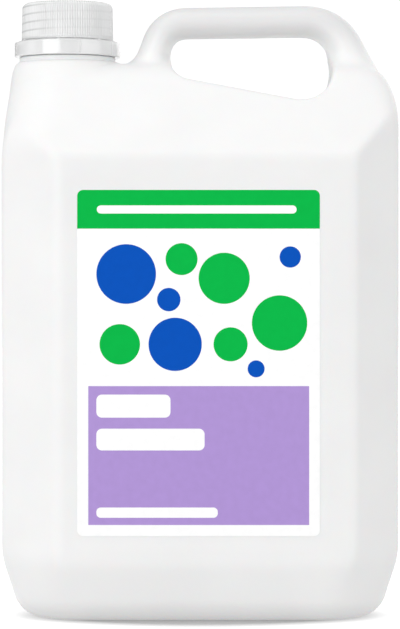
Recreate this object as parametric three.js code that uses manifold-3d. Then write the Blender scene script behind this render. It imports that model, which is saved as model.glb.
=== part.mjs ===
// A five-litre refill can of liquid hand soap: a blow-moulded polyethylene jerrycan with a grip moulded
// through its ridge, a ribbed screw cap with a foam liner, the cap's tamper band, a label on each broad
// face, and the soap inside.
// Millimetres, +Z up. The origin is on the ground under the middle of the can, and the front faces -Y.
import * as THREE from "three";
import { mergeVertices } from "three/addons/utils/BufferGeometryUtils.js";
import Module from "manifold-3d";

const wasm = await Module();
wasm.setup();

// ---------------------------------------------------------------- driving dimensions

const WIDTH = 190; // overall, across the broad face
const DEPTH = 130; // overall, over both labels
const CAP_TOP = 297.4; // overall height
const WALL = 1.7; // blown wall

const LABEL_FILM = 0.2;
const LABEL_GAP = 0.05;
const HALF_WIDTH = WIDTH / 2;
const HALF_DEPTH = DEPTH / 2 - LABEL_FILM - LABEL_GAP; // the broad faces, under the labels

const can = {
  heelRadius: 14.5,
  frontLean: 0.287, // the broad faces spread this much per mm of height, up to the lower crease
  frontCrease: 27, // height of the lower crease on the broad faces
  sideLean: 0.29,
  sideCrease: 30,
  heelFadesAt: 42, // the heel's round corners have turned into the chamfers by here
  shoulder: 220.3, // height of the upper crease on the broad faces
  ridge: 264, // height of the ridge's edge
  ridgeHalfDepth: 26,
  crown: 267.1, // height of the ridge's middle
  leftLeanFrom: 243, // above this the neck end leans in
  leftLean: 0.165,
  rightLeanFrom: 251, // above this the handle end follows the handle's outer leg
  rightLean: 0.58,
  neckChamfer: 26.5, // the upright chamfers' widths along the broad face
  handleChamfer: 21.5,
  chamferDepth: 22, // and along both ends
  neckEndRadius: 26,
  creaseRadius: 5,
};

const neck = {
  x: -65,
  boreRadius: 16.6,
  wallRadius: 19.2,
  rim: 293.7,
  platform: 268.5,
  rootRadius: 23.6,
  rootTop: 270.7,
  beadRadius: 23.5,
  beadBottom: 273,
  beadTop: 275.6,
};

const thread = {
  pitch: 4,
  turns: 2.25,
  depth: 1.2,
  rootWidth: 1.8,
  crestWidth: 0.8,
  start: 282.6, // height where the neck's thread begins
  stationsPerTurn: 24,
};

const cap = {
  topRadius: 22,
  skirtRadius: 22.4,
  innerRadius: 20.9,
  bottom: 279.9,
  topWall: 1.6,
  edgeRadius: 2.6,
  ribs: 112,
  ribDepth: 0.4,
};

const band = {
  outerRadius: 25.8,
  wallRadius: 24.5,
  flangeInner: 21.2,
  top: 278.8,
  shoulderZ: 278,
  shoulderRadius: 23.4,
  flangeUnder: 277.4,
  bottom: 271,
  toothRadius: 22.9,
  toothTop: 272,
  bridges: 7,
  firstBridge: -98.5, // degrees round from +X
  bridgeWidth: 1.4,
  bridgeHeight: 0.7,
};

const liner = { radius: 19.3, thickness: 1.7, gap: 0.2 };

// The grip: the handle's centre line has two corners, rounded, between its legs' feet.
const handle = {
  leftFoot: { x: -30, z: 252 },
  leftCorner: { x: -17.2, z: 287.5 },
  leftBend: 14,
  rightCorner: { x: 64.6, z: 288.8 },
  rightBend: 21,
  rightFoot: { x: 81.3, z: 254 },
  // Half the thickness at the left foot, at the four ends of the bends, and at the right foot.
  halfThickness: [7.9, 7.6, 7.7, 7.8, 8.9, 10.2],
  extraDepth: 5.6, // the section is an oval, deeper than it is thick
  sidesAround: 16,
};

// The grip's opening, as corners with a radius each.
const opening = [
  { x: -14.6, z: 280.2, r: 8.5 },
  { x: 63.3, z: 281.2, r: 16.5 },
  { x: 63.3, z: 245, r: 15.5 },
  { x: -14.6, z: 260.6, r: 9 },
];

const frontLabel = { x: -0.7, width: 113.9, bottom: 41.2, top: 203.7, radius: 2.8 };
const backLabel = { x: 0, width: 104, bottom: 48, top: 196, radius: 2.8 };

const recess = { height: 3, lip: 9, slope: 4 }; // the push-up inside the ring that the can stands on

const SOAP_LEVEL = 229;
const SOAP_GAP = 0.3;

const ROUND = 40; // facets round a turned piece

// ---------------------------------------------------------------- helpers

// A closed geometry as a manifold-3d solid.
function toSolid(geometry) {
  const bare = (geometry.index ? geometry.toNonIndexed() : geometry).clone();
  for (const name of Object.keys(bare.attributes)) {
    if (name !== "position") bare.deleteAttribute(name);
  }
  const merged = mergeVertices(bare, 1e-4);
  return new wasm.Manifold(
    new wasm.Mesh({
      numProp: 3,
      vertProperties: new Float32Array(merged.attributes.position.array),
      triVerts: new Uint32Array(merged.index.array),
    }),
  );
}

function toGeometry(solid) {
  const mesh = solid.getMesh();
  return new THREE.BufferGeometry()
    .setAttribute("position", new THREE.BufferAttribute(mesh.vertProperties, 3))
    .setIndex(new THREE.BufferAttribute(mesh.triVerts, 1));
}

// A closed body through rings of equal length, each counter-clockwise seen from the end, with flat ends.
function loft(rings) {
  const count = rings[0].length;
  const positions = rings.flat().flatMap((p) => [p.x, p.y, p.z]);
  const triangles = [];
  for (let ring = 0; ring < rings.length - 1; ring += 1) {
    for (let i = 0; i < count; i += 1) {
      const a = ring * count + i;
      const b = ring * count + ((i + 1) % count);
      triangles.push(a, b, b + count, a, b + count, a + count);
    }
  }
  const last = (rings.length - 1) * count;
  for (let i = 1; i < count - 1; i += 1) {
    triangles.push(0, i + 1, i, last, last + i, last + i + 1);
  }
  return new THREE.BufferGeometry()
    .setAttribute("position", new THREE.Float32BufferAttribute(positions, 3))
    .setIndex(triangles);
}

// A solid turned about +Z from [radius, height] corners that run upwards along the outside. Its profile
// starts and ends on the axis, or closes on itself.
function turned(profile) {
  const points = profile.map(([radius, height]) => new THREE.Vector2(radius, height));
  return toSolid(new THREE.LatheGeometry(points, ROUND).rotateX(Math.PI / 2));
}

// A bend between two straight runs: where its arc starts and ends, and its centre.
function bendAt(before, corner, after, radius) {
  const toBefore = before.clone().sub(corner).normalize();
  const toAfter = after.clone().sub(corner).normalize();
  const half = Math.acos(toBefore.dot(toAfter)) / 2;
  const reach = radius / Math.tan(half);
  const bisector = toBefore.clone().add(toAfter).normalize();
  return {
    from: corner.clone().addScaledVector(toBefore, reach),
    to: corner.clone().addScaledVector(toAfter, reach),
    centre: corner.clone().addScaledVector(bisector, radius / Math.sin(half)),
  };
}

const angleFrom = (centre, p) => Math.atan2(p.y - centre.y, p.x - centre.x);

// A closed outline of corners, each rounded to its own radius, as a THREE.Shape in x and z.
function roundedShape(corners) {
  const shape = new THREE.Shape();
  const points = corners.map(({ x, z }) => new THREE.Vector2(x, z));
  corners.forEach(({ r }, i) => {
    const before = points[(i + points.length - 1) % points.length];
    const after = points[(i + 1) % points.length];
    const { from, to, centre } = bendAt(before, points[i], after, r);
    const clockwise = before.clone().sub(points[i]).cross(after.clone().sub(points[i])) > 0;
    if (i === 0) shape.moveTo(from.x, from.y);
    else shape.lineTo(from.x, from.y);
    shape.absarc(centre.x, centre.y, r, angleFrom(centre, from), angleFrom(centre, to), clockwise);
  });
  shape.closePath();
  return shape;
}

// A shape in x and z, as thick as depth along y, its front face at y.
function plate(shape, y, depth, curveSegments) {
  return new THREE.ExtrudeGeometry(shape, { depth, bevelEnabled: false, curveSegments })
    .rotateX(Math.PI / 2)
    .translate(0, y + depth, 0);
}

const rectangle = (x, bottom, width, top, r) => [
  { x: x - width / 2, z: bottom, r },
  { x: x + width / 2, z: bottom, r },
  { x: x + width / 2, z: top, r },
  { x: x - width / 2, z: top, r },
];

// The lesser of two values, rounded over where they cross.
function softMin(a, b, round) {
  const h = Math.max(round - Math.abs(a - b), 0) / round;
  return Math.min(a, b) - (h * h * round) / 4;
}

const mix = (a, b, t) => a + (b - a) * t;
const smooth = (low, high, value) => THREE.MathUtils.smoothstep(value, low, high);

// ---------------------------------------------------------------- the can's outline, height by height

const lowerLine = (atCrease, crease, lean, z) => atCrease - lean * (crease - z);

// Half the footprint at the ground, where the heel's arc meets it.
function footprint(atCrease, crease, lean) {
  const slope = Math.atan(lean);
  return lowerLine(atCrease, crease, lean, 0) - can.heelRadius * Math.tan((Math.PI / 2 - slope) / 2);
}

// The lower part of an outline: the heel's arc, then the leaning face.
function lowerHalf(atCrease, crease, lean, z) {
  const arcTop = can.heelRadius * (1 - Math.sin(Math.atan(lean)));
  if (z >= arcTop) return lowerLine(atCrease, crease, lean, z);
  const rise = can.heelRadius - z;
  return footprint(atCrease, crease, lean) + Math.sqrt(can.heelRadius ** 2 - rise ** 2);
}

const shoulderLean = (HALF_DEPTH - can.ridgeHalfDepth) / (can.ridge - can.shoulder);

function halfDepthAt(z) {
  if (z > can.ridge) {
    const rise = (z - can.ridge) / (can.crown - can.ridge + 0.4);
    return can.ridgeHalfDepth * Math.sqrt(1 - rise ** 2);
  }
  const lower = lowerHalf(HALF_DEPTH, can.frontCrease, can.frontLean, z);
  const upper = HALF_DEPTH - shoulderLean * (z - can.shoulder);
  return softMin(softMin(lower, HALF_DEPTH, 2), upper, can.creaseRadius);
}

function halfWidthAt(z, side) {
  const lower = lowerHalf(HALF_WIDTH, can.sideCrease, can.sideLean, z);
  const from = side < 0 ? can.leftLeanFrom : can.rightLeanFrom;
  const lean = side < 0 ? can.leftLean : can.rightLean;
  const upper = HALF_WIDTH - lean * (z - from);
  return softMin(softMin(lower, HALF_WIDTH, 2), upper, side < 0 ? 1.5 : 4);
}

// How far a corner reaches along the broad face (a) and the end (b), and how round it is (weight):
// 0 is a straight chamfer and 0.71 a round corner. Every corner is round at the heel. Above the shoulder
// the neck end rounds off into the neck's platform, and the handle end's chamfers run out.
function cornerAt(z, side, halfDepth) {
  const low = 1 - smooth(2, can.heelFadesAt, z);
  const chamfer = side < 0 ? can.neckChamfer : can.handleChamfer;
  const upright = {
    a: mix(chamfer, 32, low),
    b: mix(can.chamferDepth, 28, low),
    weight: mix(0.1, 0.7, low),
  };
  if (z <= can.shoulder - 4) return upright;
  if (side < 0) {
    const round = Math.min(can.neckEndRadius, halfDepth - 0.05);
    const shoulder = smooth(can.shoulder - 4, can.shoulder + 24, z);
    return {
      a: mix(upright.a, round, shoulder),
      b: mix(upright.b, round, shoulder),
      weight: mix(upright.weight, 0.71, shoulder),
    };
  }
  const least = 7;
  const a = Math.max(chamfer - ((HALF_DEPTH - halfDepth) * chamfer) / can.chamferDepth, least);
  const runOut = 1 - smooth(least, chamfer - 4, a);
  return {
    a,
    b: Math.min((a * can.chamferDepth) / chamfer, halfDepth - 0.05),
    weight: mix(0.1, 0.71, runOut),
  };
}

const CORNER_STEPS = 5;

// One corner as a conic from the broad face round to the end.
function cornerPoints(z, side, face, inset) {
  const halfDepth = halfDepthAt(z);
  const { a, b, weight } = cornerAt(z, side, halfDepth);
  const depth = Math.max(halfDepth - inset, 1);
  const width = halfWidthAt(z, side) - inset;
  const reachX = Math.max(a - inset / 2, 1);
  const reachY = Math.min(Math.max(b - inset / 2, 1), depth - 0.02);
  return Array.from({ length: CORNER_STEPS + 1 }, (_, i) => {
    const t = i / CORNER_STEPS;
    const near = (1 - t) ** 2;
    const middle = 2 * weight * t * (1 - t);
    const far = t ** 2;
    const total = near + middle + far;
    const along = width - (reachX * near) / total;
    const out = depth - (reachY * far) / total;
    return new THREE.Vector3(side * along, face * out, z);
  });
}

// The whole outline at one height, counter-clockwise seen from above.
function ringAt(z, inset = 0) {
  const frontRight = cornerPoints(z, 1, -1, inset);
  const backRight = cornerPoints(z, 1, 1, inset).reverse();
  const backLeft = cornerPoints(z, -1, 1, inset);
  const frontLeft = cornerPoints(z, -1, -1, inset).reverse();
  return [...frontRight, ...backRight, ...backLeft, ...frontLeft];
}

const heelHeights = [0, 1, 3.3, 6.6, 10.4];
const wallHeights = [19, 25, 28, 31, 36, 42, 120, 213];
const shoulderHeights = [217, 220.3, 224, 229, 237, 245, 251, 256, 260.4, 264];
const crownHeights = [265.5, 266.5, 267.1];
const heights = [...heelHeights, ...wallHeights, ...shoulderHeights, ...crownHeights];

// The inside of the wall opposite the outside's outline at z. Towards the ridge the wall's face turns
// upwards, so there the inside is set down as well as in.
const innerHeights = heights.filter((z) => z > WALL + SOAP_GAP);

function innerRingAt(z, gap) {
  const top = smooth(can.shoulder, can.ridge, z);
  const inset = (WALL + gap) * (1 - 0.35 * top);
  return ringAt(z, inset).map((p) => p.setZ(z - (WALL + gap) * top));
}

// ---------------------------------------------------------------- the handle

// The handle's centre line as five runs, in x and z: leg, bend, grip, bend, leg.
function handlePath() {
  const corners = [handle.leftFoot, handle.leftCorner, handle.rightCorner, handle.rightFoot];
  const [foot, left, right, end] = corners.map(({ x, z }) => new THREE.Vector2(x, z));
  const path = new THREE.CurvePath();
  let last = foot;
  for (const [before, corner, after, radius] of [
    [foot, left, right, handle.leftBend],
    [left, right, end, handle.rightBend],
  ]) {
    const { from, to, centre } = bendAt(before, corner, after, radius);
    const [start, stop] = [angleFrom(centre, from), angleFrom(centre, to)];
    path.add(new THREE.LineCurve(last, from));
    path.add(new THREE.EllipseCurve(centre.x, centre.y, radius, radius, start, stop, true));
    last = to;
  }
  path.add(new THREE.LineCurve(last, end));
  return path;
}

const HANDLE_STEPS = [3, 7, 3, 7, 3]; // sections along each run

function handleRings(inset = 0) {
  return handlePath().curves.flatMap((run, which) => {
    const first = which === 0 ? 0 : 1;
    return Array.from({ length: HANDLE_STEPS[which] + 1 - first }, (_, i) => {
      const t = (i + first) / HANDLE_STEPS[which];
      const at = run.getPoint(t);
      const along = run.getTangent(t);
      const half = mix(handle.halfThickness[which], handle.halfThickness[which + 1], t);
      return handleRing(at, along, half - inset, half + handle.extraDepth - inset);
    });
  });
}

// One oval section, square to the centre line.
function handleRing(at, along, half, deep) {
  return Array.from({ length: handle.sidesAround }, (_, i) => {
    const angle = (i / handle.sidesAround) * 2 * Math.PI;
    const across = Math.cos(angle) * half;
    return new THREE.Vector3(at.x - along.y * across, -Math.sin(angle) * deep, at.y + along.x * across);
  });
}

// ---------------------------------------------------------------- threads

// A ridge that climbs round +Z on a wall of the given radius. way is 1 for an outside thread, -1 inside.
function helicalRidge(radius, way, start) {
  const count = Math.round(thread.turns * thread.stationsPerTurn);
  const rings = Array.from({ length: count + 1 }, (_, i) => {
    const turn = i / thread.stationsPerTurn;
    const angle = turn * 2 * Math.PI;
    const ramp = Math.min(1, Math.min(i, count - i) / 3);
    const z = start + turn * thread.pitch;
    const crest = radius + way * thread.depth * Math.max(ramp, 0.05);
    const root = radius - way * 0.5;
    const section = [
      [root, z - thread.rootWidth / 2],
      [root, z + thread.rootWidth / 2],
      [crest, z + thread.crestWidth / 2],
      [crest, z - thread.crestWidth / 2],
    ];
    if (way < 0) section.reverse();
    return section.map(([r, height]) => {
      return new THREE.Vector3(r * Math.cos(angle), r * Math.sin(angle), height);
    });
  });
  return loft(rings);
}

// ---------------------------------------------------------------- the pieces

const atNeck = (solid) => solid.translate([neck.x, 0, 0]);

// The grip's opening right through the ridge, with its edges moved out into the wall by grow.
function gripOpening(grow) {
  const [left, right] = [opening[0].x - grow, opening[1].x + grow];
  const corners = [
    { x: left, z: opening[0].z + grow, r: opening[0].r + grow },
    { x: right, z: opening[1].z + grow, r: opening[1].r + grow },
    { x: right, z: opening[2].z - grow, r: opening[2].r + grow },
    { x: left, z: opening[3].z - grow, r: opening[3].r + grow },
  ];
  const through = DEPTH + 20;
  return toSolid(plate(roundedShape(corners), -through / 2, through, 6));
}

// The push-up under the base, with its faces moved into the can by grow.
function pushUp(grow) {
  const rings = [
    [-1, recess.lip],
    [grow, recess.lip],
    [recess.height + grow, recess.lip + recess.slope],
  ].map(([z, inset]) => ringAt(0, inset - grow / 2).map((p) => p.setZ(z)));
  return toSolid(loft(rings));
}

// The neck on its round platform, with the thread, the bead that holds the tamper band, and a root ring.
function neckSolid() {
  const outside = turned([
    [0, 250],
    [26.6, 250],
    [26.6, 263],
    [26.2, 266],
    [25.2, neck.platform],
    [neck.rootRadius, neck.platform],
    [neck.rootRadius, neck.rootTop - 0.4],
    [neck.rootRadius - 0.4, neck.rootTop],
    [neck.wallRadius, neck.rootTop],
    [neck.wallRadius, neck.beadBottom],
    [neck.beadRadius, neck.beadBottom + 0.3],
    [neck.beadRadius, neck.beadBottom + 1],
    [neck.wallRadius, neck.beadTop],
    [neck.wallRadius, neck.rim - 0.8],
    [neck.wallRadius - 0.8, neck.rim],
    [0, neck.rim],
  ]);
  return outside.add(toSolid(helicalRidge(neck.wallRadius, 1, thread.start)));
}

function boreSolid() {
  return turned([
    [0, 246],
    [24.2, 246],
    [24.2, 262],
    [neck.boreRadius, 268],
    [neck.boreRadius, neck.rim - 0.6],
    [neck.boreRadius + 0.6, neck.rim],
    [neck.boreRadius + 0.6, neck.rim + 5],
    [0, neck.rim + 5],
  ]);
}

// The hollow can: everything inside the outer faces, less everything inside the wall.
function canSolid() {
  const outside = toSolid(loft(heights.map((z) => ringAt(z, 0))))
    .subtract(gripOpening(0))
    .subtract(pushUp(0))
    .add(toSolid(loft(handleRings(0))))
    .add(atNeck(neckSolid()));
  const inside = toSolid(loft(innerHeights.map((z) => innerRingAt(z, 0))))
    .subtract(gripOpening(WALL))
    .subtract(pushUp(WALL))
    .add(toSolid(loft(handleRings(WALL))))
    .add(atNeck(boreSolid()));
  return outside.subtract(inside);
}

// The soap, up to its level and just clear of the wall.
function soapSolid() {
  const wetted = innerHeights.filter((z) => z <= SOAP_LEVEL);
  const fill = toSolid(loft(wetted.map((z) => innerRingAt(z, SOAP_GAP))));
  return fill.subtract(pushUp(WALL + SOAP_GAP));
}

// The cap's ribbed outside: ridges and hollows by turns, drawn in a little towards the top.
function capOutside() {
  const steps = cap.ribs * 2;
  const ring = (z, radius, rib) =>
    Array.from({ length: steps }, (_, i) => {
      const angle = (i / steps) * 2 * Math.PI;
      const r = radius - (i % 2 ? rib : 0);
      return new THREE.Vector3(r * Math.cos(angle), r * Math.sin(angle), z);
    });
  const edge = [0, 45, 90].map((degrees) => {
    const angle = THREE.MathUtils.degToRad(degrees);
    const radius = cap.topRadius - cap.edgeRadius * (1 - Math.cos(angle));
    const z = CAP_TOP - cap.edgeRadius * (1 - Math.sin(angle));
    return ring(z, radius, degrees ? 0 : cap.ribDepth);
  });
  return loft([
    ring(cap.bottom, cap.skirtRadius, 0),
    ring(cap.bottom + 1.2, cap.skirtRadius, cap.ribDepth),
    ...edge,
  ]);
}

function capSolid() {
  const inside = turned([
    [0, cap.bottom - 1],
    [cap.innerRadius + 0.4, cap.bottom - 1],
    [cap.innerRadius + 0.4, cap.bottom + 0.4],
    [cap.innerRadius, cap.bottom + 0.8],
    [cap.innerRadius, CAP_TOP - cap.topWall],
    [0, CAP_TOP - cap.topWall],
  ]);
  const ridge = toSolid(helicalRidge(cap.innerRadius, -1, thread.start + thread.pitch / 2));
  return toSolid(capOutside()).subtract(inside).add(ridge);
}

// The tamper band: a turned-in flange above that carried the bridges, and a tooth below that is caught
// under the neck's bead.
function bandSolid() {
  const profile = [
    [band.toothRadius, band.bottom],
    [band.outerRadius, band.bottom],
    [band.outerRadius, band.shoulderZ],
    [band.shoulderRadius, band.top],
    [band.flangeInner, band.top],
    [band.flangeInner, band.flangeUnder],
    [band.wallRadius, band.flangeUnder - 0.6],
    [band.wallRadius, band.toothTop + 0.5],
    [band.toothRadius, band.toothTop],
    [band.toothRadius, band.bottom],
  ];
  const sunk = 0.3;
  return Array.from({ length: band.bridges }, (_, i) => {
    const bridge = new THREE.BoxGeometry(1, band.bridgeWidth, band.bridgeHeight + sunk)
      .translate(band.flangeInner + 0.8, 0, band.top + (band.bridgeHeight - sunk) / 2)
      .rotateZ(THREE.MathUtils.degToRad(band.firstBridge + (i * 360) / band.bridges));
    return toSolid(bridge);
  }).reduce((all, bridge) => all.add(bridge), turned(profile));
}

function linerSolid() {
  const low = neck.rim + liner.gap;
  return turned([
    [0, low],
    [liner.radius, low],
    [liner.radius, low + liner.thickness],
    [0, low + liner.thickness],
  ]);
}

function labelGeometry(label, front) {
  const shape = roundedShape(rectangle(label.x, label.bottom, label.width, label.top, label.radius));
  return plate(shape, front ? -DEPTH / 2 : DEPTH / 2 - LABEL_FILM, LABEL_FILM, 5);
}

// ---------------------------------------------------------------- the assembly

const whitePlastic = new THREE.MeshStandardMaterial({ color: 0xf3f3f2, roughness: 0.42, metalness: 0 });
const clearPlastic = new THREE.MeshStandardMaterial({ color: 0xdfe1e2, roughness: 0.25, metalness: 0 });
const linerFoam = new THREE.MeshStandardMaterial({ color: 0xf6f6f4, roughness: 0.8, metalness: 0 });
const labelFilm = new THREE.MeshStandardMaterial({ color: 0xfdfdfd, roughness: 0.35, metalness: 0 });
const liquidSoap = new THREE.MeshStandardMaterial({ color: 0xe6dff0, roughness: 0.15, metalness: 0 });

function piece(name, geometry, material) {
  const mesh = new THREE.Mesh(geometry, material);
  mesh.name = name;
  return mesh;
}

const body = new THREE.Group();
body.add(
  piece("can_body", toGeometry(canSolid()), whitePlastic),
  piece("soap_fill", toGeometry(soapSolid()), liquidSoap),
  piece("front_label", labelGeometry(frontLabel, true), labelFilm),
  piece("back_label", labelGeometry(backLabel, false), labelFilm),
);

const closure = new THREE.Group();
closure.position.x = neck.x;
closure.add(
  piece("tamper_band", toGeometry(bandSolid()), clearPlastic),
  piece("cap_liner", toGeometry(linerSolid()), linerFoam),
  piece("screw_cap", toGeometry(capSolid()), clearPlastic),
);

const refillCan = new THREE.Group();
refillCan.add(body, closure);

export default refillCan;
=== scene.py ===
import math

import bmesh
import bpy
import numpy as np
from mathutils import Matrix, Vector


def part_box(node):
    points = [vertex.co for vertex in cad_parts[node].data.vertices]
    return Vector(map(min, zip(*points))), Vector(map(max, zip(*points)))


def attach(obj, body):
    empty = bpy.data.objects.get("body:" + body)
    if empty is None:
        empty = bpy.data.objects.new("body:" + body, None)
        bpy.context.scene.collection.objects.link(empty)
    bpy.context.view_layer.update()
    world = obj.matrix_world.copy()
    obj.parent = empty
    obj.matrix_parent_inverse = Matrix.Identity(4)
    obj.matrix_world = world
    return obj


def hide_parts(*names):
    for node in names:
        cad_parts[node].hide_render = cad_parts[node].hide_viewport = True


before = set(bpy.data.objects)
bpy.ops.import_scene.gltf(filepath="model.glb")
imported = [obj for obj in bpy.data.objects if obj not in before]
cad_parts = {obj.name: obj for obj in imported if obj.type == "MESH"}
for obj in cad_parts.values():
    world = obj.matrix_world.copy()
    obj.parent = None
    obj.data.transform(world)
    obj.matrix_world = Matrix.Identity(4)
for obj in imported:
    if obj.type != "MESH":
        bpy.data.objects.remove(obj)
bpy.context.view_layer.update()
scene = bpy.context.scene

# ------------------------------------------------------------------ the camera
# A long lens, straight in front of the label and level with the middle of the can.

camera = bpy.data.objects.new("camera", bpy.data.cameras.new("camera"))
scene.collection.objects.link(camera)
scene.camera = camera
camera.data.lens = 175
camera.data.sensor_width = 36
camera.location = (0, -1.5, 0.1452)
camera.rotation_euler = (math.radians(90), 0, 0)


# ------------------------------------------------------------------ the can
# One hollow blow moulding of white polyethylene: broad flat faces, upright chamfers, sloping shoulders
# that meet in a ridge, and a grip blown through the ridge. Its two mould halves close at the middle.
# Sizes are in millimetres, from the ground under the can's middle.

can_low, can_high = (1000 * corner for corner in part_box("can_body"))
seam_height = 0.22
half_width = can_high.x - seam_height
half_depth = can_high.y
neck_chamfer, handle_chamfer, chamfer_depth = 26.5, 21.5, 22.0
shoulder_height, ridge_height, crown_height = 220.3, 264.0, 267.2
ridge_half_depth = 26.0
lower_front_crease, lower_end_crease = 27.0, 30.0
front_lean, end_lean, chamfer_lean = 0.287, 0.29, 0.36
neck_lean, neck_lean_from = 0.165, 243.0
handle_lean, handle_lean_from = 0.58, 251.0
shoulder_edge, lower_edge, end_edge = 2.2, 0.8, 1.6
dome_radius, dome_from, dome_whole = 26.0, 214.0, 250.0
base_corner, base_round_to, base_square_from = 30.0, 4.0, 40.0
heel_radius, above_heel = 14.5, 14.0
foot_width, push_up_height = 23.5, 3.0
neck_x = -65.0
platform_height, platform_radius, platform_foot = 268.5, 25.2, 245.0
well_radius, well_floor = 18.0, 235.0
grip_left, grip_right = -14.6, 63.9
grip_top, grip_top_rise = 280.2, 0.013
grip_floor, grip_floor_fall = 260.6, 0.2
panel_x, panel_half_width = -1.0, 60.0
panel_middle, panel_half_height, panel_step = 122.5, 85.8, 0.16


def hard_corner(a, b, radius, lean=0.0):
    """The inside of both fields, with a round edge where they meet. lean is the cosine between them."""
    a, b = a + radius, b + radius
    round_part = (a > lean * b) & (b > lean * a)
    around = np.sqrt(np.maximum(a * a + b * b - 2 * lean * a * b, 0) / (1 - lean * lean))
    return np.where(round_part, around, np.maximum(a, b)) - radius


def soft_corner(a, b, reach):
    """The inside of both fields, with an edge that melts over that reach."""
    near = np.maximum(reach - np.abs(a - b), 0) / reach
    return np.maximum(a, b) + near * near * reach / 4


def melt(a, b, reach):
    """The inside of either field, with a fillet of that reach where they meet."""
    return -soft_corner(-a, -b, reach)


def ease(low, high, value):
    t = np.clip((value - low) / (high - low), 0, 1)
    return t * t * (3 - 2 * t)


def slanted(out, rise, slope):
    """A face that leans in by slope for each millimetre of rise above its crease."""
    return (out + slope * rise) / math.hypot(1, slope)


shoulder_slope = (half_depth - ridge_half_depth) / (ridge_height - shoulder_height)


def label_panel(x, z):
    """How far a broad face stands out round its label's shallow panel."""
    beside = np.abs(x - panel_x) - panel_half_width
    beyond = np.maximum(beside, np.abs(z - panel_middle) - panel_half_height)
    return panel_step * ease(-1.2, 1.2, beyond)


def broad_faces(x, y, z):
    out = np.abs(y) - half_depth - label_panel(x, z)
    face = soft_corner(out, slanted(out, z - shoulder_height, shoulder_slope), shoulder_edge)
    return soft_corner(face, slanted(out, lower_front_crease - z, front_lean), lower_edge)


def end_face(side, x, y, z):
    """One end, pulled in a little at its middle where the blown wall cooled."""
    hollow = 0.9 * np.exp(-(((z - 100) / 55) ** 2) - (y / 30) ** 2)
    out = side * x - half_width + hollow
    face = soft_corner(out, slanted(out, lower_end_crease - z, end_lean), end_edge)
    if side < 0:
        return soft_corner(face, slanted(out, z - neck_lean_from, neck_lean), 2)
    return soft_corner(face, slanted(out, z - handle_lean_from, handle_lean), 6)


def chamfer(x, y, z):
    width = np.where(x < 0, neck_chamfer, handle_chamfer)
    out = (np.abs(x) - half_width + width) * chamfer_depth + (np.abs(y) - half_depth) * width
    out = out / np.hypot(width, chamfer_depth)
    return soft_corner(out, slanted(out, lower_end_crease - z, chamfer_lean), end_edge)


def can_walls(x, y, z):
    """All the upright faces. The neck end turns into a dome, and both ends are round at the base."""
    broad = broad_faces(x, y, z)
    neck_end = end_face(-1, x, y, z)
    handle_end = end_face(1, x, y, z)
    cut = chamfer(x, y, z)
    high = ease(dome_from, dome_whole, z)
    squared_left = soft_corner(soft_corner(broad, neck_end, 5), cut, 3)
    domed_left = hard_corner(broad, neck_end, dome_radius)
    left = squared_left * (1 - high) + domed_left * high
    right = soft_corner(soft_corner(broad, handle_end, 9), cut, 2)
    low = 1 - ease(base_round_to, base_square_from, z)
    left = left * (1 - low) + hard_corner(broad, neck_end, base_corner) * low
    right = right * (1 - low) + hard_corner(broad, handle_end, base_corner) * low
    return np.where(x < 0, left, right)


def push_up(x, y, z):
    """The shallow hollow in the base, which leaves a flat ring to stand on."""
    inset = can_walls(x, y, np.full_like(z, above_heel)) + foot_width
    return soft_corner(inset, z - push_up_height, 5)


def grip_opening(x, z):
    """The hand gap: its floor slopes down to the handle end, and each corner has its own radius."""
    left = grip_left - x
    right = x - grip_right
    top = z - grip_top - grip_top_rise * (x - grip_left)
    floor = (grip_floor - grip_floor_fall * (x - grip_left) - z) / math.hypot(1, grip_floor_fall)
    corners = [(left, top, 8.5), (right, top, 18), (right, floor, 19), (left, floor, 9)]
    return np.maximum.reduce([hard_corner(a, b, radius) for a, b, radius in corners])


def bend(before, corner, after, step):
    """Points round a corner (x, z, radius) between two straight runs."""
    here = np.array(corner[:2], float)
    back, on = np.array(before[:2]) - here, np.array(after[:2]) - here
    back, on = back / np.hypot(*back), on / np.hypot(*on)
    radius = corner[2]
    if radius == 0:
        return [here]
    half = math.acos(np.dot(back, on)) / 2
    centre = here + (back + on) / np.hypot(*(back + on)) * radius / math.sin(half)
    start = here + back * radius / math.tan(half) - centre
    sweep = (math.pi - 2 * half) * np.sign(on[0] * back[1] - on[1] * back[0])
    turns = np.linspace(0, sweep, max(3, int(abs(sweep) * radius / step) + 1))
    c, s = np.cos(turns), np.sin(turns)
    return centre + np.stack([start[0] * c - start[1] * s, start[0] * s + start[1] * c], 1)


def rounded_path(corners, step):
    """A line from the first corner to the last, rounded at each corner between."""
    bends = [bend(*three, step) for three in zip(corners, corners[1:], corners[2:])]
    return np.concatenate([[corners[0][:2]], *bends, [corners[-1][:2]]])


handle_extra_depth = 5.6
handle_line = rounded_path(
    [(-30.4, 251, 0), (-17.2, 287.5, 14), (64.6, 288.8, 21), (83, 250, 0)], 2.0
)
handle_half = np.interp(
    np.arange(len(handle_line)),
    [0, 1, len(handle_line) * 0.5, len(handle_line) - 2, len(handle_line) - 1],
    [7.9, 7.5, 7.75, 9.0, 10.4],
)


def handle(x, y, z):
    """An oval section that follows the handle's line and swells towards both feet."""
    nearest = np.full(x.shape, 1e9)
    half = np.zeros(x.shape)
    for i in range(len(handle_line) - 1):
        (ax, az), (bx, bz) = handle_line[i], handle_line[i + 1]
        length = (bx - ax) ** 2 + (bz - az) ** 2
        t = np.clip(((x - ax) * (bx - ax) + (z - az) * (bz - az)) / length, 0, 1)
        away = np.hypot(x - ax - t * (bx - ax), z - az - t * (bz - az))
        closer = away < nearest
        nearest = np.where(closer, away, nearest)
        half = np.where(closer, handle_half[i] + t * (handle_half[i + 1] - handle_half[i]), half)
    deep = half + handle_extra_depth
    k0 = np.hypot(nearest / half, y / deep)
    k1 = np.hypot(nearest / half**2, y / deep**2) + 1e-9
    return k0 * (k0 - 1) / k1


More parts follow.
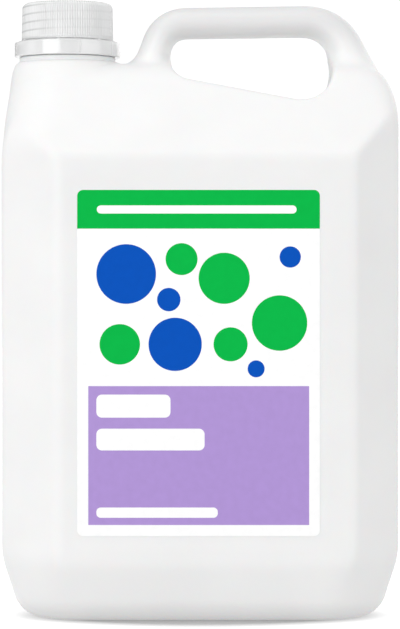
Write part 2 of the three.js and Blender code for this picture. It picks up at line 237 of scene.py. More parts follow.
def neck_platform(x, y, z):
    """The round flat that the neck stands on."""
    out = np.hypot(x - neck_x, y) - platform_radius - 0.3 * np.clip(platform_height - z, 0, 5)
    return np.maximum(hard_corner(out, z - platform_height, 1.6), platform_foot - z)


def neck_well(x, y, z):
    """The blind hole under the neck."""
    return np.maximum(np.hypot(x - neck_x, y) - well_radius, well_floor - z)


def can_surface(p):
    """The whole can. The fillet at the handle's feet fades before the end face and stays off the grip."""
    x, y, z = p[..., 0], p[..., 1], p[..., 2]
    foot_fillet = 7.5 - 6.5 * ease(79, 92, x)
    body = soft_corner(can_walls(x, y, z), z - crown_height, 9)
    body = hard_corner(body, -z, heel_radius, 0.28)
    body = soft_corner(body, -push_up(x, y, z), 3)
    body = soft_corner(body, -grip_opening(x, z), 1.6)
    body = melt(body, handle(x, y, z), foot_fillet)
    body = soft_corner(body, -grip_opening(x, z) - 0.5, 1.6)
    body = melt(body, neck_platform(x, y, z), 3)
    body = np.maximum(body, -neck_well(x, y, z))
    seam = seam_height * np.exp(-((y / 0.45) ** 2)) * ease(3, 8, z)
    return body - seam


def skin(surface, xs, ys, zs):
    """Closed quads over the zero level of a field, one vertex in each cell that the level crosses."""
    grid = np.stack(np.meshgrid(xs, ys, zs, indexing="ij"), -1)
    level = surface(grid)
    inside = level < 0
    cells = tuple(n - 1 for n in level.shape)
    offsets = [(i, j, k) for i in (0, 1) for j in (0, 1) for k in (0, 1)]
    window = [tuple(slice(o, o + n) for o, n in zip(offset, cells)) for offset in offsets]
    count = sum(inside[w].astype(np.int8) for w in window)
    mixed = (count > 0) & (count < 8)
    index = np.full(cells, -1)
    index[mixed] = np.arange(mixed.sum())
    corner_level = np.stack([level[w][mixed] for w in window])
    corner_at = np.stack([grid[w][mixed] for w in window])
    total, crossed = np.zeros((mixed.sum(), 3)), np.zeros((mixed.sum(), 1))
    for a in range(8):
        for b in range(a + 1, 8):
            if sum(abs(i - j) for i, j in zip(offsets[a], offsets[b])) != 1:
                continue
            fa, fb = corner_level[a], corner_level[b]
            cut = (fa < 0) != (fb < 0)
            t = np.where(cut, fa / np.where(cut, fa - fb, 1), 0)[:, None]
            total += cut[:, None] * (corner_at[a] + t * (corner_at[b] - corner_at[a]))
            crossed += cut[:, None]
    quads = []
    for axis in range(3):
        first = np.take(inside, range(cells[axis]), axis)
        second = np.take(inside, range(1, cells[axis] + 1), axis)
        at = np.argwhere(first != second)
        u, v = [a for a in range(3) if a != axis]
        at = at[(at[:, u] > 0) & (at[:, v] > 0) & (at[:, u] < cells[u]) & (at[:, v] < cells[v])]
        ring = []
        for du, dv in ((-1, -1), (0, -1), (0, 0), (-1, 0)):
            cell = at.copy()
            cell[:, u] += du
            cell[:, v] += dv
            ring.append(index[tuple(cell.T)])
        ring = np.stack(ring, 1)
        outward = first[tuple(at.T)] ^ (axis == 1)
        quads.append(np.where(outward[:, None], ring, ring[:, ::-1]))
    return total / crossed, np.concatenate(quads)


def settle(surface, vertices, quads, rounds):
    """Evens out the quads and sets every vertex exactly on the surface."""
    edges = np.concatenate([quads[:, [k, (k + 1) % 4]] for k in range(4)])
    tiny = 0.02
    for _ in range(rounds):
        pull = np.zeros_like(vertices)
        links = np.zeros((len(vertices), 1))
        np.add.at(pull, edges[:, 0], vertices[edges[:, 1]])
        np.add.at(links, edges[:, 0], 1)
        vertices = vertices + 0.45 * (pull / links - vertices)
        for _ in range(2):
            value = surface(vertices)[:, None]
            slope = np.empty_like(vertices)
            for axis in range(3):
                nudge = np.zeros(3)
                nudge[axis] = tiny
                slope[:, axis] = surface(vertices + nudge) - surface(vertices - nudge)
            slope /= 2 * tiny
            steep = np.maximum((slope**2).sum(1, keepdims=True), 0.05)
            vertices = vertices - np.clip(value / steep, -1.5, 1.5) * slope
    return vertices


def graded(stops):
    """Grid lines between stops, each stop given as (where, spacing up to it)."""
    lines = [stops[0][0]]
    for (low, _), (high, spacing) in zip(stops, stops[1:]):
        lines += list(np.linspace(low, high, max(1, round((high - low) / spacing)) + 1)[1:])
    return np.array(lines)


def mesh_piece(name, vertices, faces, smooth=True):
    """A mesh object from millimetres."""
    mesh = bpy.data.meshes.new(name)
    mesh.from_pydata((np.asarray(vertices) * 0.001).tolist(), [], np.asarray(faces).tolist())
    mesh.validate()
    mesh.update()
    if smooth:
        mesh.shade_smooth()
    piece = bpy.data.objects.new(name, mesh)
    scene.collection.objects.link(piece)
    return piece


cell, seam_cell, plain_wall_cell = (1.5), 0.45, 6
from_seam = graded([(0.0, 1), (1.35, seam_cell), (half_depth + 2, cell)])
columns = graded([(-half_width - 2, 1), (half_width + 2, cell)])
depths = np.concatenate([-from_seam[:0:-1], from_seam])
levels = graded([(-1.7, 1), (42, cell), (203, plain_wall_cell), (300, cell)])
skin_points, skin_quads = skin(can_surface, columns, depths, levels)
skin_points = settle(can_surface, skin_points, skin_quads, 4)
can_skin = mesh_piece("can_skin", skin_points, skin_quads)


class Finish:
    """A material's nodes, with short ways to add and join them."""

    def __init__(self, name):
        self.material = bpy.data.materials.new(name)
        self.material.use_nodes = True
        self.tree = self.material.node_tree
        self.shader = self.tree.nodes["Principled BSDF"]

    def node(self, kind, values=None, **settings):
        node = self.tree.nodes.new(kind)
        for key, value in settings.items():
            setattr(node, key, value)
        for key, value in (values or {}).items():
            node.inputs[key].default_value = value
        return node

    def join(self, source, target, socket):
        self.tree.links.new(source, target.inputs[socket])

    def set(self, **values):
        for key, value in values.items():
            self.shader.inputs[key.replace("_", " ")].default_value = value

    def noise(self, scale, detail=2.0, roughness=0.5, distort=0.0):
        where = self.node("ShaderNodeTexCoord")
        values = {"Scale": scale, "Detail": detail, "Roughness": roughness, "Distortion": distort}
        noise = self.node("ShaderNodeTexNoise", values)
        self.join(where.outputs["Object"], noise, "Vector")
        return noise.outputs["Fac"]

    def ramp(self, value, stops):
        ramp = self.node("ShaderNodeValToRGB")
        self.join(value, ramp, "Fac")
        elements = ramp.color_ramp.elements
        while len(elements) < len(stops):
            elements.new(0.5)
        for element, (position, colour) in zip(elements, stops):
            element.position = position
            element.color = colour
        return ramp.outputs["Color"]

    def towards(self, colour, other, share):
        """The colour, mixed with another one by a share from 0 to 1."""
        mix = self.node("ShaderNodeMix", {7: other}, data_type="RGBA")
        self.join(share, mix, 0)
        self.join(colour, mix, 6)
        return mix.outputs[2]

    def span(self, value, low, high):
        span = self.node("ShaderNodeMapRange", {"To Min": low, "To Max": high})
        self.join(value, span, "Value")
        return span.outputs["Result"]

    def bumps(self, *layers):
        """Layers of (height, strength, distance in metres), each on the one before."""
        below = None
        for height, strength, distance in layers:
            bump = self.node("ShaderNodeBump", {"Strength": strength, "Distance": distance})
            self.join(height, bump, "Height")
            if below is not None:
                self.join(below, bump, "Normal")
            below = bump.outputs["Normal"]
        self.join(below, self.shader, "Normal")


white_wall = Finish("blown_white_polyethylene")
mottle = white_wall.ramp(
    white_wall.noise(22, 3), [(0.3, (0.80, 0.80, 0.80, 1)), (0.7, (0.83, 0.83, 0.828, 1))]
)
# Painted shade: the wall's colour turns grey up the handle, between 272 and 288 mm high, to darken the
# handle where less light falls on it.
painted_handle_shade = (0.72, 0.72, 0.722, 1)
wall_place = white_wall.node("ShaderNodeTexCoord")
wall_xyz = white_wall.node("ShaderNodeSeparateXYZ")
white_wall.join(wall_place.outputs["Object"], wall_xyz, "Vector")
handle_shade_share = white_wall.node("ShaderNodeMapRange", {"From Min": 0.272, "From Max": 0.288})
handle_shade_share.interpolation_type = "SMOOTHSTEP"
white_wall.join(wall_xyz.outputs["Z"], handle_shade_share, "Value")
wall_colour = white_wall.towards(mottle, painted_handle_shade, handle_shade_share.outputs["Result"])
white_wall.join(wall_colour, white_wall.shader, "Base Color")
white_wall.join(white_wall.span(white_wall.noise(160, 4), 0.36, 0.48), white_wall.shader, "Roughness")
white_wall.bumps(
    (white_wall.noise(38, 1), 0.25, 0.0008),
    (white_wall.noise(420, 2), 0.12, 0.00025),
    (white_wall.noise(1700, 2), 0.08, 0.00008),
)
white_wall.set(IOR=1.5, Subsurface_Weight=0.12, Subsurface_Scale=0.003)
can_skin.data.materials.append(white_wall.material)

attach(can_skin, "can")
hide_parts("can_body")


# ------------------------------------------------------------------ the neck
# Part of the can's moulding: a round neck with a root ring, the bead that holds the tamper band, and a
# right-handed thread, calibrated from inside while the plastic was hot.

neck_foot, root_top, neck_rim = 263.0, 270.9, 293.7
neck_radius, ring_radius, neck_bore = 19.2, 23.5, 16.6
thread_pitch, thread_turns, thread_start = 4.0, 2.25, 282.6
thread_height, thread_half_width, thread_flank, thread_run_out = 1.2, 0.98, 0.62, 0.12


def turned_piece(name, path, sides, shape=None):
    """A body turned about the neck's axis. Its (radius, height) path is closed or ends on the axis."""
    angle = np.arange(sides) * 2 * math.pi / sides
    angle, radius = np.meshgrid(angle, path[:, 0], indexing="ij")
    height = np.broadcast_to(path[:, 1], radius.shape)
    if shape:
        radius, height = shape(angle, radius, height)
    x, y = neck_x + radius * np.cos(angle), radius * np.sin(angle)
    points = np.stack([x, y, height], -1).reshape(-1, 3)
    steps = len(path)
    closed = path[0, 0] > 0
    i, j = np.meshgrid(np.arange(sides), np.arange(steps if closed else steps - 1), indexing="ij")
    on, up = (i + 1) % sides, (j + 1) % steps
    quads = np.stack([i * steps + j, on * steps + j, on * steps + up, i * steps + up], -1)
    piece = mesh_piece(name, points, quads.reshape(-1, 4))
    if not closed:
        shell = bmesh.new()
        shell.from_mesh(piece.data)
        bmesh.ops.remove_doubles(shell, verts=shell.verts, dist=1e-7)
        shell.to_mesh(piece.data)
        shell.free()
        piece.data.shade_smooth()
    return piece


def rounded_loop(corners, step):
    """A closed line of corners, each rounded."""
    turned = list(zip(corners[-1:] + corners[:-1], corners, corners[1:] + corners[:1]))
    return np.concatenate([bend(*three, step) for three in turned])


def with_steps(path, longest):
    """The same line, with its upright runs cut into short steps."""
    points = [path[0]]
    for here in path[1:]:
        run = here - points[-1]
        count = math.ceil(np.hypot(*run) / longest) if abs(run[1]) > abs(run[0]) else 1
        start = points[-1]
        points += [start + run * k / count for k in range(1, count + 1)]
    return np.array(points)


def thread_ridge(angle, height, start):
    """How far the thread stands out of its wall. It runs out to nothing at both ends."""
    climb = (height - start) / thread_pitch - angle / (2 * math.pi)
    turn = np.round(climb)
    away = np.abs(climb - turn) * thread_pitch
    along = turn + angle / (2 * math.pi)
    ends = ease(0, thread_run_out, along) * (1 - ease(thread_turns - thread_run_out, thread_turns, along))
    return thread_height * ease(0, 1, (thread_half_width - away) / thread_flank) * ends


def neck_shape(angle, radius, height):
    on_wall = (radius > 18.8) & (height > 280)
    return radius + on_wall * thread_ridge(angle, height, thread_start), height


neck_outside = rounded_path(
    [
        (17.9, neck_foot, 0),
        (ring_radius, neck_foot, 0.5),
        (ring_radius, root_top, 0.6),
        (neck_radius, root_top + 0.2, 0.8),
        (neck_radius, 272.8, 0.5),
        (ring_radius, 273.3, 0.5),
        (ring_radius, 274.4, 0.6),
        (neck_radius, 276.2, 1.2),
        (neck_radius, neck_rim, 0.8),
        (17.9, neck_rim, 0),
    ],
    0.25,
)
neck_inside = rounded_path(
    [(17.8, neck_rim, 0), (neck_bore, neck_rim, 0.5), (neck_bore, neck_foot, 0.4), (17.8, neck_foot, 0)],
    0.25,
)
neck_path = np.concatenate([with_steps(neck_outside, 0.42), neck_inside])
neck = turned_piece("threaded_neck", neck_path, 200, neck_shape)
neck.data.materials.append(white_wall.material)

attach(neck, "can")
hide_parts("can_body")


# ------------------------------------------------------------------ the tamper band
# The ring that stays on the neck under its bead. It is uncoloured polyethylene, moulded with the cap and
# broken away from it at seven small bridges. Inside are seven ribs, and two grooves end its tear strip.

band_low, band_high = (1000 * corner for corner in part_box("tamper_band"))
band_radius = band_high.y
band_flange, band_shoulder, band_foot = 278.8, 277.8, 271.7
bridge_step = 2 * math.pi / 7
first_bridge = math.radians(-98.5)
flange_radius, inner_radius = 22.0, 24.0
bridge_half, rib_half, groove_half = 0.75, 0.55, 0.4
bridge_height, rib_height, groove_depth = 0.2, 1.1, 0.25
tear_middle, tear_half = 2 * math.pi - math.radians(51.8), math.radians(21.7)


def band_shape(angle, radius, height):
    """Bridges stand on the flange, ribs run down the inner wall, and grooves end the tear strip."""
    off_bridge = (angle - first_bridge + bridge_step / 2) % bridge_step - bridge_step / 2
    off_rib = (angle - first_bridge) % bridge_step - bridge_step / 2
    off_groove = np.abs(angle - tear_middle) - tear_half
    bridge = np.exp(-((off_bridge * flange_radius / bridge_half) ** 4))
    rib = np.exp(-((off_rib * inner_radius / rib_half) ** 4))
    groove = np.exp(-((off_groove * band_radius / groove_half) ** 4))
    on_flange = (height > band_flange - 0.1) & (radius < 22.9) & (radius > 21.3)
    on_shoulder = (height > band_shoulder + 0.1) & (radius > 22.95) & (radius < 25)
    on_outside = (height > band_foot - 0.1) & (height < band_shoulder + 0.1) & (radius > 25.7)
    inner_wall = (radius > inner_radius) & (radius < 24.6) & (height < 276.8)
    height = height + bridge * (bridge_height * on_flange + 0.35 * on_shoulder)
    radius = radius + 0.5 * bridge * on_shoulder - groove_depth * groove * on_outside
    return radius - rib_height * rib * inner_wall, height


band_path = rounded_loop(
    [
        (22.9, band_low.z, 0.2),
        (band_radius, band_low.z, 0.35),
        (band_radius, band_foot, 0),
        (band_radius, band_shoulder, 0),
        (band_radius, band_shoulder + 0.2, 0.15),
        (23.4, band_flange, 0.3),
        (22.9, band_flange, 0),
        (22.8, band_flange, 0),
        (21.5, band_flange, 0),
        (21.4, band_flange, 0),
        (21.2, band_flange, 0.15),
        (21.2, 277.4, 0.1),
        (24.5, 276.8, 0.4),
        (24.5, 272.5, 0.3),
        (22.9, 272.0, 0.2),
    ],
    0.2,
)
band_ring = turned_piece("tamper_ring", band_path, 720, band_shape)


def uncoloured_polyethylene(name):
    """Milky, slightly see-through plastic, clouded where it cooled: the finish and its clouded colour."""
    finish = Finish(name)
    cloud = finish.ramp(
        finish.noise(90, 3), [(0.3, (0.865, 0.87, 0.875, 1)), (0.7, (0.915, 0.918, 0.92, 1))]
    )
    finish.join(cloud, finish.shader, "Base Color")
    finish.join(finish.span(finish.noise(300, 3), 0.14, 0.22), finish.shader, "Roughness")
    finish.bumps((finish.noise(120, 2), 0.15, 0.0004), (finish.noise(900, 2), 0.08, 0.0001))
    finish.set(IOR=1.5, Alpha=0.72, Specular_IOR_Level=1.0)
    finish.set(Coat_Weight=1.0, Coat_Roughness=0.18, Coat_IOR=1.65)
    return finish, cloud


band_plastic, _ = uncoloured_polyethylene("band_polyethylene")
band_ring.data.materials.append(band_plastic.material)

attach(band_ring, "can")
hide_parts("tamper_band")


# ------------------------------------------------------------------ the cap's liner
# A disc of white closed-cell foam, pressed into the top of the cap. It seals on the neck's rim, which has
# left its round print in the foam.

liner_low, liner_high = (1000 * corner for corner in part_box("cap_liner"))
liner_radius = liner_high.y
rim_print, print_depth = 17.9, 0.12
liner_path = rounded_path(
    [
        (0, liner_low.z, 0),
        (rim_print - 1.5, liner_low.z, 0.3),
        (rim_print - 1.1, liner_low.z + print_depth, 0.2),
        (rim_print + 0.7, liner_low.z + print_depth, 0.2),
        (rim_print + 0.9, liner_low.z, 0.05),
        (liner_radius, liner_low.z, 0.2),
        (liner_radius, liner_high.z, 0.15),
        (0, liner_high.z, 0),
    ],
    0.15,
)
foam_disc = turned_piece("foam_liner", liner_path, 128)

foam = Finish("closed_cell_foam")
foam_cells = foam.noise(2600, 2)
foam_colour = foam.ramp(foam_cells, [(0.35, (0.7, 0.7, 0.68, 1)), (0.6, (0.86, 0.86, 0.84, 1))])
foam.join(foam_colour, foam.shader, "Base Color")
foam.join(foam.span(foam.noise(900, 2), 0.7, 0.9), foam.shader, "Roughness")
foam.bumps((foam_cells, 0.4, 0.0002))
foam_disc.data.materials.append(foam.material)

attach(foam_disc, "liner")
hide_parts("cap_liner")


# ------------------------------------------------------------------ the screw cap
# One injection moulding of uncoloured polyethylene: fine grip ribs outside, from the skirt's edge to the
# rounded top, and the thread inside. Its wall is partly see-through, and the thread's shade is painted on
# it as grey lines, strongest on the side away from the handle.

cap_low, cap_high = (1000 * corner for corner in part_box("screw_cap"))
cap_edge = cap_low.z - 0.8
skirt_radius = cap_high.y
cap_ribs, grip_rib_depth = 112, 0.42
top_wall, cap_bore = 1.6, 20.9
inner_top = cap_high.z - top_wall


def cap_shape(angle, radius, height):
    """Ribs on the outside, fading out over the top edge, and the thread on the inside."""
    thread = thread_ridge(angle, height, thread_start + thread_pitch / 2)
    on_inside = (np.abs(radius - cap_bore) < 0.02) & (height < inner_top - 0.9)
    across_rib = 2 * np.abs(cap_ribs * angle / (2 * math.pi) % 1 - 0.5)
    hollow = ease(0.4, 1, across_rib)
    ribbed = ease(cap_edge + 0.9, cap_edge + 1.7, height) * ease(18.6, 20.6, radius)
    outside = (radius > cap_bore + 0.45) | (height > inner_top)
    return radius - thread * on_inside - grip_rib_depth * hollow * ribbed * outside, height


cap_inside = rounded_path(
    [
        (0, inner_top, 0),
        (cap_bore, inner_top, 0.9),
        (cap_bore, cap_edge + 0.9, 0.3),
        (cap_bore + 0.4, cap_edge + 0.4, 0.15),
        (cap_bore + 0.4, cap_edge, 0.1),
        (cap_bore + 0.7, cap_edge, 0),
    ],
    0.2,
)
cap_outside = rounded_path(
    [
        (cap_bore + 0.8, cap_edge, 0),
        (skirt_radius, cap_edge, 0.3),
        (skirt_radius, cap_edge + 1.9, 0.5),
        (22.05, cap_high.z, 2.6),
        (0, cap_high.z, 0),
    ],
    0.35,
)
cap_path = np.concatenate([with_steps(cap_inside, 0.45), cap_outside])
screw_lid = turned_piece("ribbed_cap", cap_path, 672, cap_shape)

cap_plastic, cap_colour = uncoloured_polyethylene("cap_polyethylene")

# Painted shade: the inner thread's shade is painted on the wall as grey lines. A point's height in turns
# of the thread, less its turn round the axis, tells how far above the nearest crest it is.
position = cap_plastic.node("ShaderNodeTexCoord")
from_axis = cap_plastic.node("ShaderNodeVectorMath", {1: (-0.001 * neck_x, 0, 0)}, operation="ADD")
cap_plastic.join(position.outputs["Object"], from_axis, 0)
xyz = cap_plastic.node("ShaderNodeSeparateXYZ")
cap_plastic.join(from_axis.outputs["Vector"], xyz, "Vector")
round_axis = cap_plastic.node("ShaderNodeMath", operation="ARCTAN2")
cap_plastic.join(xyz.outputs["Y"], round_axis, 0)
cap_plastic.join(xyz.outputs["X"], round_axis, 1)
turns_round = cap_plastic.node("ShaderNodeMath", {1: -0.5 / math.pi}, operation="MULTIPLY")
cap_plastic.join(round_axis.outputs["Value"], turns_round, 0)
turns_up = cap_plastic.node("ShaderNodeMath", {1: 1000 / thread_pitch}, operation="MULTIPLY_ADD")
cap_plastic.join(xyz.outputs["Z"], turns_up, 0)
cap_plastic.join(turns_round.outputs["Value"], turns_up, 2)
crest_turns = -thread_start / thread_pitch - 0.5
above_crest = cap_plastic.node("ShaderNodeMath", {1: crest_turns}, operation="ADD")
cap_plastic.join(turns_up.outputs["Value"], above_crest, 0)
within_turn = cap_plastic.node("ShaderNodeMath", operation="FRACT")
cap_plastic.join(above_crest.outputs["Value"], within_turn, 0)
thread_shade = cap_plastic.ramp(
    within_turn.outputs["Value"],
    [(0.0, (0.5, 0.5, 0.5, 1)), (0.12, (1, 1, 1, 1)), (0.3, (0, 0, 0, 1)), (0.9, (0, 0, 0, 1))],
)
# The painted thread shade is strongest on the side away from the handle and faint elsewhere.
painted_shade_side = {"From Min": -0.004, "From Max": -0.018, "To Min": 0.15, "To Max": 0.75}
painted_shade_strength = cap_plastic.node("ShaderNodeMapRange", painted_shade_side)
cap_plastic.join(xyz.outputs["X"], painted_shade_strength, "Value")
on_wall = cap_plastic.node("ShaderNodeMapRange", {"From Min": 0.2965, "From Max": 0.2955})
cap_plastic.join(xyz.outputs["Z"], on_wall, "Value")
wall_share = cap_plastic.node("ShaderNodeMath", operation="MULTIPLY")
cap_plastic.join(on_wall.outputs["Result"], wall_share, 0)
cap_plastic.join(painted_shade_strength.outputs["Result"], wall_share, 1)
thread_share = cap_plastic.node("ShaderNodeMath", operation="MULTIPLY")
cap_plastic.join(thread_shade, thread_share, 0)
cap_plastic.join(wall_share.outputs["Value"], thread_share, 1)
painted_thread_grey = (0.5, 0.51, 0.515, 1)
shaded = cap_plastic.towards(cap_colour, painted_thread_grey, thread_share.outputs["Value"])
cap_plastic.join(shaded, cap_plastic.shader, "Base Color")
screw_lid.data.materials.append(cap_plastic.material)

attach(screw_lid, "cap")
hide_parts("screw_cap")


# ------------------------------------------------------------------ the front label
# White film stuck to the broad face and printed in flat inks: a green band across its top, a scatter of
# blue and green soap bubbles, and a lilac field with pale bars. None of it is lettering.

label_low, label_high = (1000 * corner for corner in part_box("front_label"))
label_width = label_high.x - label_low.x
label_height = label_high.z - label_low.z
ink = 0.02


def film(name, outlines, front, back):
    """A thin body for each outline, a line of (x, z) corners with radii, from front to back in y."""
    points, faces = [], []
    for outline in outlines:
        loop = rounded_loop(outline, 0.5)
        count, first = len(loop), len(points)
        for y in (front, back):
            points += [(x, y, z) for x, z in loop]
        near = list(range(first, first + count))
        far = list(range(first + count, first + 2 * count))
        faces += [near, far[::-1]]
        faces += [[near[k], far[k], far[(k + 1) % count], near[(k + 1) % count]] for k in range(count)]
    mesh = bpy.data.meshes.new(name)
    mesh.from_pydata([[0.001 * c for c in point] for point in points], [], faces)
    mesh.update()
    piece = bpy.data.objects.new(name, mesh)
    scene.collection.objects.link(piece)
    return piece


def block(left, bottom, right, top, radius):
    """A rounded rectangle, measured from the label's lower left corner."""
    x, z = label_low.x, label_low.z
    return [
        (x + left, z + bottom, radius),
        (x + right, z + bottom, radius),
        (x + right, z + top, radius),
        (x + left, z + top, radius),
    ]


def bubble(x, z, radius):
    """A disc, placed like a block."""
    return block(x - radius, z - radius, x + radius, z + radius, radius * 0.999)


def printed_ink(name, colour):
    """Flat ink on film, a little uneven in its cover and its gloss."""
    finish = Finish(name)
    dark = tuple(0.965 * c for c in colour)
    cover = finish.ramp(finish.noise(260, 4), [(0.35, (*dark, 1)), (0.65, (*colour, 1))])
    finish.join(cover, finish.shader, "Base Color")
    finish.join(finish.span(finish.noise(240, 3), 0.32, 0.44), finish.shader, "Roughness")
    finish.bumps((finish.noise(30, 1), 0.1, 0.0006), (finish.noise(1400, 2), 0.06, 0.00005))
    finish.set(Specular_IOR_Level=0.06)
    return finish.material


white_film = printed_ink("white_label_film", (0.96, 0.96, 0.96))
green_ink = printed_ink("green_ink", (0.0, 0.46, 0.062))
blue_ink = printed_ink("blue_ink", (0.0, 0.082, 0.48))
lilac_ink = printed_ink("lilac_ink", (0.42, 0.29, 0.64))

label_front, label_corner, cut_corner = label_low.y, 2.8, 0.01
sheet = film(
    "front_label_film",
    [block(0, 0, label_width, label_height, label_corner)],
    label_front + 2 * ink,
    label_high.y,
)
green_foot = label_low.z + label_height - 18.2
green_field = [
    (label_low.x, green_foot, cut_corner),
    (label_high.x, green_foot, cut_corner),
    (label_high.x, label_high.z, label_corner),
    (label_low.x, label_high.z, label_corner),
]
blue_bubbles = [(23, 123, 14), (43, 111, 5.5), (46, 90, 12.5), (84, 78.5, 4), (100, 131, 5)]
green_bubbles = [(20, 90, 9.5), (49, 130, 7.5), (69, 121, 12), (72, 90, 8), (95, 100, 13)]
prints = {
    "label_green_band": (green_ink, [green_field]),
    "label_lilac_field": (lilac_ink, [block(5.2, 5.2, 108.9, 70.4, 0.15)]),
    "label_blue_bubbles": (blue_ink, [bubble(*disc) for disc in blue_bubbles]),
    "label_green_bubbles": (green_ink, [bubble(*disc) for disc in green_bubbles]),
}
bars = film(
    "label_pale_bars",
    [
        block(9.2, label_height - 11.1, 103.0, label_height - 7.3, 1.9),
        block(9.0, 55.6, 43.8, 66.4, 2.6),
        block(9.0, 40.2, 59.8, 50.4, 2.6),
        block(9.0, 8.6, 66.0, 13.4, 2.0),
    ],
    label_front,
    label_front + ink,
)
bars.data.materials.append(white_film)
sheet.data.materials.append(white_film)
label_parts = [sheet, bars]
for name, (material, outlines) in prints.items():
    field = film(name, outlines, label_front + ink, label_front + 2 * ink)
    field.data.materials.append(material)
    label_parts.append(field)
for part in label_parts:
    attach(part, "can")
    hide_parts("front_label")


# ------------------------------------------------------------------ the back label
# The same film on the other broad face, left plain but for a lilac foot and a green head.

back_low, back_high = (1000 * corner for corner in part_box("back_label"))


def back_stripe(bottom, top, lower_corner, upper_corner):
    """A stripe over the whole width of the back label, between two heights on it."""
    return [
        (back_low.x, back_low.z + bottom, lower_corner),
        (back_high.x, back_low.z + bottom, lower_corner),
        (back_high.x, back_low.z + top, upper_corner),
        (back_low.x, back_low.z + top, upper_corner),
    ]


back_height, head_height, foot_height = back_high.z - back_low.z, 14, 26
whole = back_stripe(0, back_height, label_corner, label_corner)
head = back_stripe(back_height - head_height, back_height, cut_corner, label_corner)
foot = back_stripe(0, foot_height, label_corner, cut_corner)
back_sheet = film("back_label_film", [whole], back_low.y, back_high.y - ink)
back_sheet.data.materials.append(white_film)
back_head = film("back_label_green_band", [head], back_high.y - ink, back_high.y)
back_head.data.materials.append(green_ink)
back_foot = film("back_label_lilac_foot", [foot], back_high.y - ink, back_high.y)
back_foot.data.materials.append(lilac_ink)
for part in (back_sheet, back_head, back_foot):
    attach(part, "can")
    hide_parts("back_label")


# ------------------------------------------------------------------ the soap
# Five litres of pale, slightly pearly liquid. It fills the can to its shoulders and can't be seen.

wall_thickness, soap_level, soap_cell = 1.8, 229.0, 5.0


def soap_surface(p):
    """The inside of the can's wall, up to the fill level."""
    return hard_corner(can_surface(p) + wall_thickness, p[..., 2] - soap_level, 0.6)


soap_columns = graded([(-half_width, 1), (half_width, soap_cell)])
soap_depths = graded([(-half_depth, 1), (half_depth, soap_cell)])
soap_levels = graded([(0, 1), (soap_level + 4, soap_cell)])
soap_points, soap_quads = skin(soap_surface, soap_columns, soap_depths, soap_levels)
soap_points = settle(soap_surface, soap_points, soap_quads, 2)
soap = mesh_piece("soap_body", soap_points, soap_quads)

pearl = Finish("liquid_soap")
swirl = pearl.ramp(
    pearl.noise(14, 5, distort=1.5), [(0.3, (0.62, 0.54, 0.78, 1)), (0.7, (0.74, 0.68, 0.86, 1))]
)
pearl.join(swirl, pearl.shader, "Base Color")
pearl.join(pearl.span(pearl.noise(40, 2), 0.05, 0.12), pearl.shader, "Roughness")
pearl.bumps((pearl.noise(8, 1), 0.05, 0.001))
pearl.set(IOR=1.34)
soap.data.materials.append(pearl.material)

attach(soap, "can")
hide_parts("soap_fill")


# ------------------------------------------------------------------ the studio
# A pale floor that runs out into a white room, with soft panels of light overhead, round the front and
# behind. The gloss mirrors a darker far side of the room, so that white edges show against it.

world = bpy.data.worlds.new("room")
scene.world = world
world.use_nodes = True
nodes, links = world.node_tree.nodes, world.node_tree.links
room = nodes["Background"]
room.inputs["Color"].default_value = (1, 1, 1, 1)
direction = nodes.new("ShaderNodeTexCoord")
looking = nodes.new("ShaderNodeSeparateXYZ")
links.new(direction.outputs["Generated"], looking.inputs["Vector"])


def room_range(part, limits):
    """A number that changes across the room, along one part of the direction looked in."""
    change = nodes.new("ShaderNodeMapRange")
    for limit, value in limits.items():
        change.inputs[limit].default_value = value
    links.new(looking.outputs[part], change.inputs["Value"])
    return change


glow = room_range("Z", {"From Min": -1, "To Min": 0.7, "To Max": 0.88})
behind = room_range("Y", {"From Min": 0.3, "To Min": 1, "To Max": 0.4})
screened = nodes.new("ShaderNodeMath")
screened.operation = "MULTIPLY"
links.new(glow.outputs["Result"], screened.inputs[0])
links.new(behind.outputs["Result"], screened.inputs[1])
ray = nodes.new("ShaderNodeLightPath")
reflected = nodes.new("ShaderNodeMix")
links.new(ray.outputs["Is Glossy Ray"], reflected.inputs["Factor"])
links.new(glow.outputs["Result"], reflected.inputs["A"])
links.new(screened.outputs["Value"], reflected.inputs["B"])
direct = nodes.new("ShaderNodeMath")
direct.operation = "MAXIMUM"
links.new(ray.outputs["Is Camera Ray"], direct.inputs[0])
links.new(ray.outputs["Is Transmission Ray"], direct.inputs[1])
strength = nodes.new("ShaderNodeMix")
strength.inputs["B"].default_value = 1.05
links.new(direct.outputs["Value"], strength.inputs["Factor"])
links.new(reflected.outputs["Result"], strength.inputs["A"])
links.new(strength.outputs["Result"], room.inputs["Strength"])

floor_mesh = bpy.data.meshes.new("floor")
floor_shape = bmesh.new()
bmesh.ops.create_circle(floor_shape, cap_ends=True, radius=12, segments=96)
floor_shape.to_mesh(floor_mesh)
floor_shape.free()
floor = bpy.data.objects.new("floor", floor_mesh)
scene.collection.objects.link(floor)
floor.visible_diffuse = False
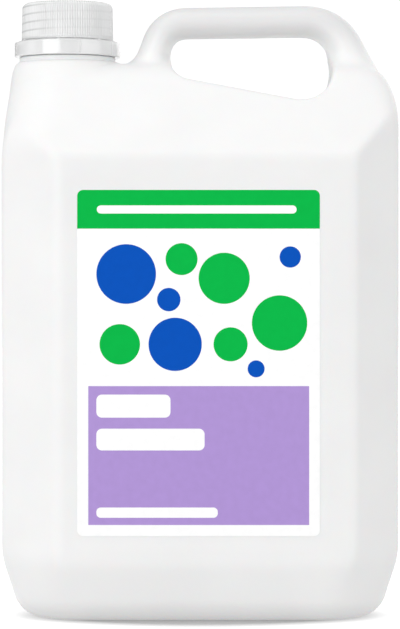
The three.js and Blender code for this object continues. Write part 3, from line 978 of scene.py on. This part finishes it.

# The floor glows, but for an oval of painted shadow round the can's foot, set a little forward of it.
shade_half_width, shade_half_depth, shade_forward = 0.068, 0.046, 0.02
pale = Finish("pale_floor")
pale.set(Base_Color=(0.4, 0.4, 0.4, 1), Roughness=0.7, Specular_IOR_Level=0.1)
floor_place = pale.node("ShaderNodeTexCoord")
foot_oval = pale.node("ShaderNodeVectorMath", operation="MULTIPLY_ADD")
foot_oval.inputs[1].default_value = (1 / shade_half_width, 1 / shade_half_depth, 0)
foot_oval.inputs[2].default_value = (0, shade_forward / shade_half_depth, 0)
pale.join(floor_place.outputs["Object"], foot_oval, 0)
from_foot = pale.node("ShaderNodeVectorMath", operation="LENGTH")
pale.join(foot_oval.outputs["Vector"], from_foot, "Vector")
shade_edge = {"From Min": 1.0, "From Max": 1.45, "To Min": 0.1, "To Max": 0.85}
floor_glow = pale.node("ShaderNodeMapRange", shade_edge)
pale.join(from_foot.outputs["Value"], floor_glow, "Value")
pale.join(floor_glow.outputs["Result"], pale.shader, "Emission Strength")
pale.set(Emission_Color=(1, 1, 1, 1))
floor_mesh.materials.append(pale.material)


def soft_panel(name, at, towards, size, power):
    """A light as wide and high as size, in metres, that faces a point. Its power is in watts."""
    light = bpy.data.lights.new(name, "AREA")
    light.shape = "RECTANGLE"
    light.size, light.size_y = size
    light.energy = power
    panel = bpy.data.objects.new(name, light)
    scene.collection.objects.link(panel)
    panel.location = at
    panel.rotation_euler = (Vector(towards) - Vector(at)).to_track_quat("-Z", "Y").to_euler()


soft_panel("key", (-1.1, -1.1, 1.0), (0, 0, 0.16), (0.7, 0.9), 2.8)
soft_panel("window", (-1.5, -2.2, 0.4), (0, 0, 0.2), (1.8, 1.1), 14.5)
soft_panel("overhead", (-0.4, -0.3, 1.6), (0, 0, 0.1), (1.2, 1.0), 2.7)
soft_panel("left", (-1.8, -0.3, 0.5), (0, 0, 0.15), (1.0, 1.2), 2.0)
soft_panel("right", (1.5, -1.2, 0.4), (0, 0, 0.15), (1.8, 1.6), 6.6)
soft_panel("back", (0.8, 1.8, 0.9), (0, 0, 0.15), (1.4, 1.2), 5.0)

scene.view_settings.view_transform = "Standard"
scene.view_settings.look = "None"
scene.view_settings.exposure = 0
scene.view_settings.gamma = 1
